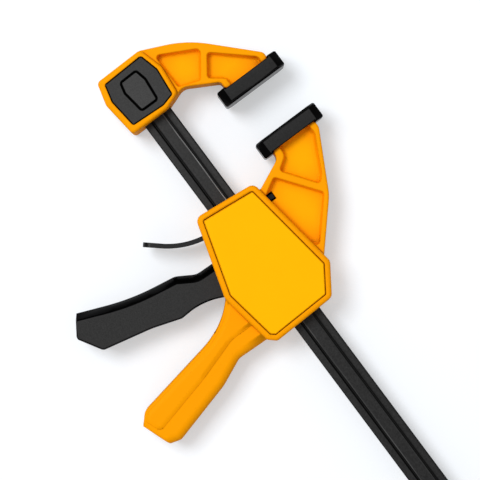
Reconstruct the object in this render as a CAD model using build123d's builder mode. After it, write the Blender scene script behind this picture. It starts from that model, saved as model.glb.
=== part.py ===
"""One-handed quick release bar clamp, in millimetres.

Row frame: the origin is the centre of the fixed jaw's working face, +X is that face's
normal and runs along the bar to its tail, +Y runs from the bar to the jaws, +Z is up
out of the clamp's side.  The clamp lies flat on its back, mirror plane at Z = 0.

Two local frames keep the outlines short: FIXED and MOVING both have their y zero on
the bar's centre line, and their x zero on the working face of their own jaw.
"""

import os
from math import cos, hypot, radians, sin, tan

from build123d import *

# ---------------------------------------------------------------- driving dimensions
OPENING = 29.0            # gap between the jaw faces at rest
CAPACITY = 305.0          # widest gap, a 12 inch clamp
THROAT = 60.5             # bar centre line to jaw centre
BAR_WIDTH = 20.0
BAR_THICK = 8.0

# Bar
BAR_CORNER = 0.9
GROOVE_SPACING = 9.0
GROOVE_WIDTH = 2.4
GROOVE_FLOOR = 0.6
GROOVE_DEPTH = 1.2
TAIL_BEYOND_PIN = 12.0
TAIL_CHAMFER = 1.5
STOP_PIN_R = 2.5
STOP_PIN_LENGTH = 19.0
STOP_PIN_BORE_R = 1.4
STOP_PIN_SLOT = 0.8

# Fits
SLIDE_FIT = 0.25          # bar in the windows it slides through
SOCKET_FIT = 0.15         # bar in the fixed jaw's socket, plates in their pads
RUNNING_FIT = 0.06        # pins that turn or slide in a round hole
PART_GAP = 0.3            # between pieces that move past each other
SEAM = 0.35               # open line round a let-in cover or panel

# Jaw plates and their rubber pads
PAD_LENGTH = 45.0
PAD_WIDTH = 30.0
PAD_DEPTH = 11.0
PAD_FACE = 3.6
PAD_WALL = 2.4
PAD_LIP = 1.5
PAD_SIDE_CUT = 1.1
PAD_CORNER = 4.5
PAD_HOLE_CORNER = 0.3
PAD_EDGE = 1.5
PAD_BACK_EDGE = 0.8

# Jaw arms: I-section beams with a diagonal rib between two pockets
ARM_HALF = 11.5
WEB_HALF = 5.5
ARM_SPREAD = 16.2         # arm half-length where it enters the pad
ARM_EDGE = 1.2
POCKET_DRAFT = 8.0
POCKET_FLOOR_CUT = 1.0

# Fixed jaw's head
HEAD_SKIN = 12.0          # plastic outside the bar, on each side
HEAD_EDGE = 2.2
PANEL_THICK = 2.7
PANEL_SINK = 0.3
BAR_IN_HEAD = 56.0        # bar end behind the fixed jaw's face
BUTTON_X = -40.75
BUTTON_THICK = 3.6
BUTTON_PROUD = 0.2
BUTTON_GAP = 0.8
COLLAR_WALL = 1.2         # round the button, under the panel
BUTTON_TRAVEL = 3.2
BUTTON_BOSS_R = 2.7
BUTTON_BOSS_LONG = 1.0
BUTTON_SKIN = 1.2         # button left over the lock pin
LOCK_PIN_R = 2.0
LOCK_FLANGE_R = 3.3
LOCK_FLANGE_THICK = 2.3
LOCK_SEAT_DEPTH = 2.6
BUTTON_WELL_FLOOR = 1.9   # plastic left over the bar
BUTTON_WIRE = 0.6
BUTTON_TURNS = 3

# Housing
RIM = 3.6                 # rim that shows round each cover
LEDGE = 1.6               # shelf that each cover sits on
COVER_THICK = 3.0
HOUSING_EDGE = 2.4
COVER_EDGE = 0.35
COVER_BOSS_WALL = 2.2     # round the trigger's pin
PIN_SKIN = 1.5            # cover left over the pin's ends
POST_R = 3.0
SCREW_R = 1.5
SCREW_HEAD_R = 2.8
SCREW_HEAD_THICK = 1.8
SCREW_SINK = 0.4
POST_TOP = 4.5
SPRING_SEAT_PROUD = 0.8   # inside the rear wall
SEAT_RIB_X = 38.4         # rib that seats the brake spring
SEAT_RIB_THICK = 2.4
SEAT_RIB_DOWN = 1.0       # below the bar
SEAT_RIB_LONG = 13.0

# Handle
HANDLE_HALF = 10.8
HANDLE_PALM_R = 5.5
HANDLE_FINGER_R = 2.0
PALM_FROM_X = 105.0
PLATEAU_RISE = 1.4
PLATEAU_EDGE = 1.1        # slope at the plateau's edge, how deep and how wide
PLATEAU_SLOPE = 2.4

# Trigger
TRIGGER_HALF = 9.0
TRIGGER_PULL = 15.0       # degrees
TRIGGER_PIN_R = 2.5
TRIGGER_BOSS_R = 4.6
TRIGGER_PIVOT_X = 62.0
TRIGGER_PIVOT_UP = 8.2    # above the bar's upper edge
NOSE_R = 3.5
NOSE_DOWN = 4.0           # below the bar's lower edge
TRIGGER_BACK_EDGE = 0.6
TRIGGER_RELIEF = 2.0      # behind the nose's edge, clear of the plates' lower ends
BEVEL_WIDE = 4.3
BEVEL_DEEP = 6.5
BEVEL_FROM = 1.0          # below the bar
BEVEL_TO = 104.0
TRIGGER_SPINE_X = 49.0    # middle of the trigger at the bar, and its slope
TRIGGER_RAKE = 0.24
FORK_GAP = 1.2            # beside the bar
FORK_ROOT_DOWN = 2.5      # below the bar
TRIGGER_SLOT = (42.3, 79.2)
TRIGGER_SLOT_DOWN = 9.0
TRIGGER_SLOT_LONG = 33.0  # into the handle's root, for the trigger's heel

# Drive plates and springs
PLATE_COUNT = 3
PLATE_THICK = 2.8
PLATE_HALF = 9.0
PLATE_FIT = 0.35
PLATE_UP = 2.8
PLATE_DOWN = 7.5
PLATE_CORNER = 1.5
WIRE_SIDES = 5
SPRING_PLAY = 0.1         # at each end of the button's spring
DRIVE_WIRE = 1.8
DRIVE_TURNS = 5
DRIVE_SPRING_START = 90.0 # degrees round the coil, clear of the last plate's corners
DRIVE_ROOM = 1.4
SPRING_FIT = 0.5
BRAKE_WIRE = 0.8
BRAKE_COIL_R = 2.6
BRAKE_TURNS = 3
BRAKE_SPRING_DOWN = 5.5

# Brake (release) lever
LEVER_THICK = 3.0
LEVER_HALF = 9.0
LEVER_PIVOT_X = 31.7
LEVER_PIVOT_UP = 17.0
LEVER_TILT = 5.0          # degrees
LEVER_TOP = 1.6           # above its pivot
LEVER_STRAIGHT = 44.0
LEVER_BEND_R = 52.0
LEVER_BEND = 36.0         # degrees
LEVER_TIP = 11.5
LEVER_TIP_CORNER = 5.0
LEVER_TONGUE_HALF = 4.5   # upper end, which rocks in the arm's web
LEVER_TONGUE_UP = 9.0     # where it starts, above the bar
LEVER_WINDOW_FIT = 0.55
LEVER_SLOT_GAP = 1.2
LEVER_SLOT = (24.2, 35.4)
LEVER_SLOT_DOWN = 6.0
LEVER_SLOT_LONG = 14.0
LEVER_HOLE_UP = 2.2       # above its pivot
LEVER_HOLE_LONG = 12.4

# ------------------------------------------------------------------- worked out sizes
HALF_BAR = BAR_WIDTH / 2
BAR_Z = BAR_THICK / 2
TINY = 0.001
HEAD_HALF = BAR_Z + HEAD_SKIN
FIXED = Plane(origin=(0, -THROAT, 0))
MOVING = Plane(origin=(OPENING, -THROAT, 0))

# The drive spring goes round the bar's corners, and sets the housing's depth.
DRIVE_COIL_R = hypot(HALF_BAR, BAR_Z) + SPRING_FIT + DRIVE_WIRE / 2
LEDGE_Z = DRIVE_COIL_R + DRIVE_WIRE / 2 + DRIVE_ROOM
HOUSING_HALF = LEDGE_Z + COVER_THICK
PIN_END_Z = HOUSING_HALF - PIN_SKIN

JAW_TOP = THROAT + ARM_SPREAD
JAW_LOW = THROAT - ARM_SPREAD
PLATE_FRONT = PAD_FACE + SOCKET_FIT
PLATE_BACK = PAD_DEPTH - PAD_SIDE_CUT - PAD_LIP - SOCKET_FIT
PAD_HOLE_LENGTH = PAD_LENGTH - 2 * PAD_WALL
PAD_HOLE_WIDTH = PAD_WIDTH - 2 * PAD_WALL

PANEL_OUT_Z = HEAD_HALF - PANEL_SINK
PANEL_IN_Z = PANEL_OUT_Z - PANEL_THICK
WELL_Z = BAR_Z + SOCKET_FIT + BUTTON_WELL_FLOOR
BUTTON_OUT_Z = PANEL_OUT_Z + BUTTON_PROUD
BUTTON_IN_Z = BUTTON_OUT_Z - BUTTON_THICK
LOCK_TOP_Z = BUTTON_OUT_Z - BUTTON_SKIN
FLANGE_TOP_Z = -BAR_Z + LOCK_SEAT_DEPTH - PART_GAP

TRIGGER_PIVOT = (TRIGGER_PIVOT_X, HALF_BAR + TRIGGER_PIVOT_UP)
NOSE_Y = -HALF_BAR - NOSE_DOWN
NOSE_REACH = TRIGGER_PIVOT[1] - NOSE_Y
NOSE_X = TRIGGER_PIVOT_X - NOSE_REACH * tan(radians(TRIGGER_PULL / 2))
PLATES_X = NOSE_X + NOSE_R + PART_GAP
PLATES_BACK_X = PLATES_X + PLATE_COUNT * PLATE_THICK
FORK_Z = BAR_Z + FORK_GAP
COVER_BOSS_R = TRIGGER_PIN_R + COVER_BOSS_WALL
TRIGGER_SLOT_Z = TRIGGER_HALF + 2 * PART_GAP

LEVER_PIVOT = (LEVER_PIVOT_X, HALF_BAR + LEVER_PIVOT_UP)
LEVER_SLOT_Z = LEVER_HALF + 2 * PART_GAP

# ------------------------------------------------------------------------- outlines
# Corners are (x, y, radius).  Heights are taken from the bar's edges or from the jaw,
# so that an outline follows a wider bar or a deeper throat.  Pockets run counter-clockwise,
# so that their draft narrows them inwards from either side.
HEAD_CORNERS = [
    (-60.9, HALF_BAR + 5.8, 3.0),
    (-44.5, HALF_BAR + 10.6, 6.0),
    (-25.6, HALF_BAR + 8.8, 3.0),
    (-21.5, HALF_BAR - 2.0, 8.0),
    (-21.4, -HALF_BAR - 8.8, 3.0),
    (-45.5, -HALF_BAR - 11.5, 6.0),
    (-60.3, -HALF_BAR - 7.6, 3.0),
]
PANEL_CORNERS = [
    (-57.3, HALF_BAR + 4.0, 2.0),
    (-44.9, HALF_BAR + 7.3, 4.0),
    (-26.9, HALF_BAR + 5.6, 1.5),
    (-24.6, HALF_BAR - 2.7, 6.0),
    (-25.8, -HALF_BAR - 5.1, 1.5),
    (-44.9, -HALF_BAR - 7.1, 4.0),
    (-56.2, -HALF_BAR - 4.3, 1.5),
]
BUTTON_CORNERS = [
    (-51.4, 5.9, 1.5),
    (-44.3, 7.5, 3.0),
    (-30.1, 6.1, 1.5),
    (-30.2, -5.2, 1.5),
    (-44.5, -7.2, 3.0),
    (-51.1, -5.6, 1.5),
]
FIXED_ARM_CORNERS = [
    (-PLATE_FRONT, JAW_TOP, 0.0),
    (-14.3, JAW_TOP, 4.0),
    (-48.7, THROAT - 17.6, 75.0),
    (-61.0, HALF_BAR + 5.4, 0.0),
    (-50.0, 0.0, 0.0),
    (-24.0, 0.0, 0.0),
    (-23.4, HALF_BAR + 4.0, 0.0),
    (-26.8, HALF_BAR + 13.4, 8.0),
    (-15.2, JAW_LOW, 3.0),
    (-PLATE_FRONT, JAW_LOW, 0.0),
]
FIXED_POCKETS = [
    [
        (-53.4, HALF_BAR + 10.8, 2.2),
        (-28.2, HALF_BAR + 11.2, 2.2),
        (-23.2, THROAT - 25.4, 2.4),
        (-39.6, THROAT - 13.4, 3.0),
    ],
    [
        (-35.4, THROAT - 12.0, 2.2),
        (-22.0, THROAT - 21.6, 2.2),
        (-14.8, THROAT - 12.2, 3.0),
        (-PLATE_BACK, THROAT - 12.2, 0.0),
        (-PLATE_BACK, THROAT + 12.0, 0.0),
        (-14.2, THROAT + 12.0, 4.0),
    ],
]
HOUSING_CORNERS = [
    (18.6, HALF_BAR + 12.9, 4.8),
    (14.4, -HALF_BAR - 8.7, 4.8),
    (65.4, -HALF_BAR - 24.0, 7.0),
    (101.4, -HALF_BAR - 18.1, 3.0),
    (105.7, -HALF_BAR - 13.3, 3.0),
    (104.1, HALF_BAR + 9.8, 4.8),
    (85.4, HALF_BAR + 22.4, 5.0),
]
MOVING_ARM_CORNERS = [
    (PLATE_FRONT, JAW_TOP, 0.0),
    (14.6, JAW_TOP, 6.0),
    (52.4, THROAT - 3.9, 30.0),
    (80.6, HALF_BAR + 21.6, 0.0),
    (80.6, 0.0, 0.0),
    (24.0, 0.0, 0.0),
    (23.8, HALF_BAR + 14.9, 3.0),
    (14.9, JAW_LOW, 4.0),
    (PLATE_FRONT, JAW_LOW, 0.0),
]
MOVING_POCKETS = [
    [
        (PLATE_BACK, THROAT - 11.4, 0.0),
        (16.0, THROAT - 11.4, 5.0),
        (21.8, THROAT - 20.2, 2.4),
        (43.8, THROAT - 4.3, 2.2),
        (39.2, THROAT + 0.4, 3.0),
        (16.2, THROAT + 12.0, 4.0),
        (PLATE_BACK, THROAT + 12.0, 0.0),
    ],
    [
        (29.8, HALF_BAR + 13.0, 0.0),
        (70.5, HALF_BAR + 19.0, 0.0),
        (74.0, HALF_BAR + 23.2, 2.4),
        (49.2, THROAT - 5.2, 2.4),
        (22.6, THROAT - 25.0, 2.2),
    ],
]
HANDLE_CORNERS = [
    (59.2, -HALF_BAR - 18.0, 0.0),
    (79.1, -HALF_BAR - 37.1, 54.0),
    (91.7, -HALF_BAR - 105.8, 6.0),
    (98.6, -HALF_BAR - 112.3, 0.0),
    (117.6, -HALF_BAR - 105.6, 0.0),
    (119.7, -HALF_BAR - 98.3, 4.0),
    (108.6, -HALF_BAR - 57.0, 30.0),
    (100.7, -HALF_BAR - 39.2, 8.0),
    (101.6, -HALF_BAR - 15.0, 0.0),
]
PLATEAU_CORNERS = [
    (40.0, -HALF_BAR - 10.0, 0.0),
    (40.0, -HALF_BAR - 129.5, 0.0),
    (107.4, -HALF_BAR - 105.2, 3.0),
    (97.4, -HALF_BAR - 64.5, 40.0),
    (88.3, -HALF_BAR - 36.0, 15.0),
    (88.6, -HALF_BAR - 10.0, 0.0),
]
TRIGGER_CORNERS = [
    (TRIGGER_PIVOT_X - TRIGGER_BOSS_R, TRIGGER_PIVOT[1] + 1.0, 0.0),
    (43.6, -HALF_BAR - 3.0, 8.0),
    (42.7, -HALF_BAR - 29.5, 10.0),
    (35.6, -HALF_BAR - 41.2, 9.0),
    (30.6, -HALF_BAR - 71.7, 150.0),
    (17.4, -HALF_BAR - 104.3, 0.0),
    (30.4, -HALF_BAR - 113.2, 3.0),
    (46.0, -HALF_BAR - 103.9, 4.0),
    (53.2, -HALF_BAR - 71.5, 60.0),
    (59.4, -HALF_BAR - 52.8, 5.0),
    (58.6, -HALF_BAR - 36.5, 43.0),
    (66.2, -HALF_BAR - 20.0, 2.0),
    (NOSE_X + NOSE_R - TRIGGER_RELIEF, NOSE_Y - 5.0, 2.0),
    (NOSE_X + NOSE_R - 2 * PART_GAP, NOSE_Y, 0.0),
    (NOSE_X + NOSE_R - 2 * PART_GAP, TRIGGER_PIVOT[1], 0.0),
]
SCREW_PLACES = [
    (25.2, HALF_BAR + 6.5),
    (22.6, -HALF_BAR - POST_R - 0.4),
    (95.6, HALF_BAR + 7.0),
    (96.4, -HALF_BAR - 11.4),
]

HOUSING_END_X = HOUSING_CORNERS[4][0]
REAR_WALL_X = HOUSING_CORNERS[5][0]
HANDLE_TOP_Y = HANDLE_CORNERS[0][1]
BUTT_CORNER_X = HANDLE_CORNERS[3][0]
BUTT_CORNER_Y = HANDLE_CORNERS[4][1]
STOP_PIN_X = CAPACITY + HOUSING_END_X + STOP_PIN_R + PART_GAP
BAR_LENGTH = BAR_IN_HEAD + STOP_PIN_X + TAIL_BEYOND_PIN
SPRING_SEAT_X = REAR_WALL_X - RIM - LEDGE - SPRING_SEAT_PROUD


def outline(corners):
    """Closed outline through (x, y, radius) corners."""
    points = [(x, y) for x, y, _ in corners]
    with BuildLine() as edge:
        FilletPolyline(*points, radius=[r for _, _, r in corners], close=True)
    make_face(edge.edges())


def write(piece, name):
    """Name a finished piece and write its STEP file."""
    piece.label = name
    export_step(piece, f"parts/{name}.step")


def on_palm(edge):
    """Whether an edge of the handle's side runs along the palm, above the butt."""
    middle = edge.center()
    above_butt = middle.Y > -THROAT + BUTT_CORNER_Y + HANDLE_FINGER_R
    return above_butt and middle.X > OPENING + PALM_FROM_X


def on_fingers_or_butt(edge):
    """Whether an edge of the handle's side runs along the fingers or round the butt."""
    middle = edge.center()
    below_housing = middle.Y < -THROAT + HANDLE_TOP_Y - HANDLE_FINGER_R
    on_butt = middle.Y < -THROAT + BUTT_CORNER_Y + HANDLE_FINGER_R
    return on_butt or (below_housing and middle.X < OPENING + BUTT_CORNER_X)


def in_front_of_trigger(edge):
    """Whether an edge of the trigger's side belongs to its bevelled front."""
    middle = edge.center()
    down = -THROAT - HALF_BAR - middle.Y
    spine_x = OPENING + TRIGGER_SPINE_X - TRIGGER_RAKE * down
    return BEVEL_FROM < down < BEVEL_TO and middle.X < spine_x


def behind_trigger(edge):
    """Whether an edge of the trigger's side belongs to its back, below the bar."""
    below_bar = edge.center().Y < -THROAT - HALF_BAR - BEVEL_FROM
    return below_bar and not in_front_of_trigger(edge)


def coil_spring(start, direction, coil_r, wire, length, turns, angle=0.0):
    """Open helical spring, length long from start along direction, its wire in flats.

    The angle, in degrees round that direction, says where on the coil its wire starts.
    """
    lead = (length - wire) / turns
    seat = Vector(*start) + Vector(*direction) * (wire / 2)
    with BuildPart() as spring:
        with BuildLine():
            coil = Helix(lead, length - wire, coil_r, center=seat, direction=direction)
        with BuildSketch(Plane(origin=coil @ 0, z_dir=coil % 0)):
            RegularPolygon(wire / 2, WIRE_SIDES)
        sweep(is_frenet=True)
    return spring.part.rotate(Axis(start, direction), angle)


def jaw_arm(frame, corners, pockets, side):
    """I-section jaw arm with its plate; side is -1 on the fixed jaw and 1 on the moving one."""
    plate_mid = side * (PLATE_FRONT + PLATE_BACK) / 2
    with BuildPart() as arm:
        with BuildSketch(frame):
            outline(corners)
        extrude(amount=ARM_HALF, both=True)
        fillet(arm.faces().filter_by(Axis.Z).edges(), ARM_EDGE)
        for pocket in pockets:
            for up in (1, -1):
                with BuildSketch(frame.offset(up * ARM_HALF)):
                    outline(pocket)
                extrude(amount=-up * (ARM_HALF - WEB_HALF), taper=POCKET_DRAFT, mode=Mode.SUBTRACT)
        level = arm.faces().filter_by(Axis.Z)
        floors = level.filter_by(lambda face: abs(face.center().Z) < WEB_HALF + POCKET_FLOOR_CUT)
        chamfer(floors.edges(), POCKET_FLOOR_CUT)
        with BuildSketch(frame):
            with Locations((plate_mid, THROAT)):
                Rectangle(PLATE_BACK - PLATE_FRONT, PAD_HOLE_LENGTH - 2 * SOCKET_FIT)
        extrude(amount=PAD_HOLE_WIDTH / 2 - SOCKET_FIT, both=True)
    return arm.part


def jaw_pad(frame, side):
    """Rubber cap that slips over a jaw plate, open at the back round the arm."""
    face = Plane(origin=frame.from_local_coords((0, THROAT, 0)), x_dir=(0, 1, 0), z_dir=(side, 0, 0))
    with BuildPart() as pad:
        with BuildSketch(face) as rim:
            Rectangle(PAD_LENGTH, PAD_WIDTH)
            chamfer(rim.vertices(), PAD_CORNER)
        extrude(amount=PAD_DEPTH)
        ends = pad.faces().sort_by(Axis.X)
        fillet(ends[0 if side > 0 else -1].edges(), PAD_EDGE)
        chamfer(ends[-1 if side > 0 else 0].edges(), PAD_BACK_EDGE)
        with BuildSketch(face.offset(PAD_FACE)):
            RectangleRounded(PAD_HOLE_LENGTH, PAD_HOLE_WIDTH, PAD_HOLE_CORNER)
        extrude(amount=PAD_DEPTH - PAD_SIDE_CUT - PAD_LIP - PAD_FACE, mode=Mode.SUBTRACT)
        with BuildSketch(face.offset(PAD_FACE)):
            Rectangle(2 * (ARM_SPREAD + SOCKET_FIT), 2 * (ARM_HALF + SOCKET_FIT))
        extrude(amount=PAD_DEPTH, mode=Mode.SUBTRACT)
        with BuildSketch(face.offset(PAD_DEPTH - PAD_SIDE_CUT)):
            Rectangle(2 * (ARM_SPREAD + SOCKET_FIT), PAD_WIDTH)
        extrude(amount=PAD_SIDE_CUT, mode=Mode.SUBTRACT)
    return pad.part


os.makedirs("parts", exist_ok=True)

# ------------------------------------------------------------------------------- bar
with BuildPart() as bar:
    section = Plane(origin=(-BAR_IN_HEAD, -THROAT, 0), x_dir=(0, 1, 0), z_dir=(1, 0, 0))
    with BuildSketch(section):
        Rectangle(BAR_WIDTH, BAR_THICK)
        for groove_y in (-GROOVE_SPACING / 2, GROOVE_SPACING / 2):
            for up in (1, -1):
                with BuildLine():
                    Polyline(
                        (groove_y - GROOVE_WIDTH / 2, up * BAR_Z),
                        (groove_y - GROOVE_FLOOR / 2, up * (BAR_Z - GROOVE_DEPTH)),
                        (groove_y + GROOVE_FLOOR / 2, up * (BAR_Z - GROOVE_DEPTH)),
                        (groove_y + GROOVE_WIDTH / 2, up * BAR_Z),
                        close=True,
                    )
                make_face(mode=Mode.SUBTRACT)
    extrude(amount=BAR_LENGTH)
    tail = bar.faces().sort_by(Axis.X)[-1]
    chamfer(tail.edges().filter_by(Axis.Z), TAIL_CHAMFER)
    outer = bar.faces().filter_by(Axis.Y).sort_by(Axis.Y)
    fillet((outer[0].edges() + outer[-1].edges()).filter_by(Axis.X), BAR_CORNER)
    # Keyhole for the lock pin: a slot from the bar's end, and a seat in its back face
    slot_width = 2 * (LOCK_PIN_R + PART_GAP)
    with BuildSketch(FIXED):
        with Locations((BUTTON_X, 0)):
            Circle(slot_width / 2)
        with Locations(((BUTTON_X - BAR_IN_HEAD) / 2, 0)):
            Rectangle(BAR_IN_HEAD + BUTTON_X, slot_width)
    extrude(amount=BAR_THICK, both=True, mode=Mode.SUBTRACT)
    with BuildSketch(FIXED.offset(-BAR_Z)):
        with Locations((BUTTON_X, 0)):
            Circle(LOCK_FLANGE_R + RUNNING_FIT)
    extrude(amount=LOCK_SEAT_DEPTH, mode=Mode.SUBTRACT)
    with BuildSketch(FIXED):
        with Locations((STOP_PIN_X, 0)):
            Circle(STOP_PIN_R)
    extrude(amount=BAR_THICK, both=True, mode=Mode.SUBTRACT)
write(bar.part, "bar")

with BuildPart() as bar_stop_pin:
    with BuildSketch(FIXED):
        with Locations((STOP_PIN_X, 0)):
            Circle(STOP_PIN_R)
            Circle(STOP_PIN_BORE_R, mode=Mode.SUBTRACT)
            Rectangle(2 * STOP_PIN_R, STOP_PIN_SLOT, align=(Align.MIN, Align.CENTER), mode=Mode.SUBTRACT)
    extrude(amount=STOP_PIN_LENGTH / 2, both=True)
write(bar_stop_pin.part, "bar_stop_pin")

# ------------------------------------------------------------------------- fixed jaw
fixed_arm = jaw_arm(FIXED, FIXED_ARM_CORNERS, FIXED_POCKETS, -1)

with BuildPart() as fixed_jaw:
    with BuildSketch(FIXED):
        outline(HEAD_CORNERS)
    extrude(amount=HEAD_HALF, both=True)
    fillet(fixed_jaw.faces().filter_by(Axis.Z).edges(), HEAD_EDGE)
    add(fixed_arm)
    # Seats for the two black panels
    for up in (1, -1):
        with BuildSketch(FIXED.offset(up * PANEL_IN_Z)):
            outline(PANEL_CORNERS)
            offset(amount=SEAM)
        extrude(amount=up * HEAD_SKIN, mode=Mode.SUBTRACT)
    # Socket for the bar
    socket_end = (-BAR_IN_HEAD - PART_GAP, -THROAT, 0)
    with BuildSketch(Plane(origin=socket_end, x_dir=(0, 1, 0), z_dir=(1, 0, 0))):
        Rectangle(BAR_WIDTH + 2 * SOCKET_FIT, BAR_THICK + 2 * SOCKET_FIT)
    extrude(amount=BAR_IN_HEAD, mode=Mode.SUBTRACT)
    # Well for the button, and the lock pin's hole down to its seat behind the bar
    with BuildSketch(FIXED.offset(WELL_Z)):
        outline(BUTTON_CORNERS)
        offset(amount=BUTTON_GAP + COLLAR_WALL + SOCKET_FIT)
    extrude(amount=HEAD_SKIN, mode=Mode.SUBTRACT)
    with BuildSketch(FIXED):
        with Locations((BUTTON_X, 0)):
            Circle(LOCK_PIN_R + PART_GAP)
    extrude(amount=HEAD_SKIN, mode=Mode.SUBTRACT)
    with BuildSketch(FIXED):
        with Locations((BUTTON_X, 0)):
            Circle(LOCK_FLANGE_R + PART_GAP)
    extrude(amount=-(BAR_Z + BUTTON_TRAVEL + 2 * PART_GAP), mode=Mode.SUBTRACT)
write(fixed_jaw.part, "fixed_jaw")

with BuildPart() as head_panel_front:
    with BuildSketch(FIXED.offset(PANEL_IN_Z)):
        outline(PANEL_CORNERS)
    extrude(amount=PANEL_THICK)
    chamfer(head_panel_front.faces().sort_by(Axis.Z)[-1].edges(), COVER_EDGE)
    # Collar that lines the button's well
    with BuildSketch(FIXED.offset(PANEL_IN_Z)):
        outline(BUTTON_CORNERS)
        offset(amount=BUTTON_GAP + COLLAR_WALL)
    extrude(amount=WELL_Z + PART_GAP - PANEL_IN_Z)
    with BuildSketch(FIXED):
        outline(BUTTON_CORNERS)
        offset(amount=BUTTON_GAP)
    extrude(amount=HEAD_HALF, mode=Mode.SUBTRACT)
write(head_panel_front.part, "head_panel_front")

with BuildPart() as head_panel_back:
    with BuildSketch(FIXED.offset(-PANEL_IN_Z)):
        outline(PANEL_CORNERS)
    extrude(amount=-PANEL_THICK)
    chamfer(head_panel_back.faces().sort_by(Axis.Z)[0].edges(), COVER_EDGE)
write(head_panel_back.part, "head_panel_back")

write(jaw_pad(FIXED, -1), "fixed_jaw_pad")

# ------------------------------------------------------------- jaw lock in the head
with BuildPart() as release_button:
    with BuildSketch(FIXED.offset(BUTTON_IN_Z)):
        outline(BUTTON_CORNERS)
    extrude(amount=BUTTON_THICK)
    chamfer(release_button.faces().sort_by(Axis.Z)[-1].edges(), COVER_EDGE)
    with BuildSketch(FIXED.offset(BUTTON_IN_Z)):
        with Locations((BUTTON_X, 0)):
            Circle(BUTTON_BOSS_R)
    extrude(amount=-BUTTON_BOSS_LONG)
    with BuildSketch(FIXED.offset(LOCK_TOP_Z + RUNNING_FIT)):
        with Locations((BUTTON_X, 0)):
            Circle(LOCK_PIN_R + RUNNING_FIT / 2)
    extrude(amount=-HEAD_SKIN, mode=Mode.SUBTRACT)
write(release_button.part, "release_button")

with BuildPart() as lock_pin:
    with BuildSketch(FIXED.offset(FLANGE_TOP_Z)):
        with Locations((BUTTON_X, 0)):
            Circle(LOCK_PIN_R)
    extrude(amount=LOCK_TOP_Z - FLANGE_TOP_Z)
    with BuildSketch(FIXED.offset(FLANGE_TOP_Z)):
        with Locations((BUTTON_X, 0)):
            Circle(LOCK_FLANGE_R)
    extrude(amount=-LOCK_FLANGE_THICK)
write(lock_pin.part, "lock_pin")

button_spring_start = (BUTTON_X, -THROAT, WELL_Z + SPRING_PLAY)
button_spring_length = BUTTON_IN_Z - WELL_Z - 2 * SPRING_PLAY
button_coil_r = BUTTON_BOSS_R + PART_GAP + BUTTON_WIRE / 2
button_spring = coil_spring(
    button_spring_start, (0, 0, 1), button_coil_r, BUTTON_WIRE, button_spring_length, BUTTON_TURNS
)
write(button_spring, "button_spring")

# ---------------------------------------------------------------- moving jaw's body
moving_arm = jaw_arm(MOVING, MOVING_ARM_CORNERS, MOVING_POCKETS, 1)

with BuildPart() as handle:
    with BuildSketch(MOVING):
        outline(HANDLE_CORNERS)
    extrude(amount=HANDLE_HALF, both=True)
    for stretch, radius in ((on_palm, HANDLE_PALM_R), (on_fingers_or_butt, HANDLE_FINGER_R)):
        sides = handle.faces().filter_by(Axis.Z).sort_by(Axis.Z)
        rim = sides[0].edges() + sides[-1].edges()
        fillet(rim.filter_by(stretch), radius)

# Raised panel on each side of the handle, with a soft slope round it
with BuildPart() as plateau:
    with BuildSketch(MOVING):
        outline(HANDLE_CORNERS)
        offset(amount=-HANDLE_FINGER_R)
        with BuildSketch(mode=Mode.INTERSECT):
            outline(PLATEAU_CORNERS)
    extrude(amount=HANDLE_HALF + PLATEAU_RISE, both=True)
    for up in (0, -1):
        level = plateau.faces().sort_by(Axis.Z)[up]
        chamfer(level.edges(), PLATEAU_SLOPE, PLATEAU_EDGE, reference=level)

# The hollow inside the housing
with BuildPart() as housing_room:
    with BuildSketch(MOVING):
        outline(HOUSING_CORNERS)
        offset(amount=-(RIM + LEDGE))
    extrude(amount=HOUSING_HALF, both=True)

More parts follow.
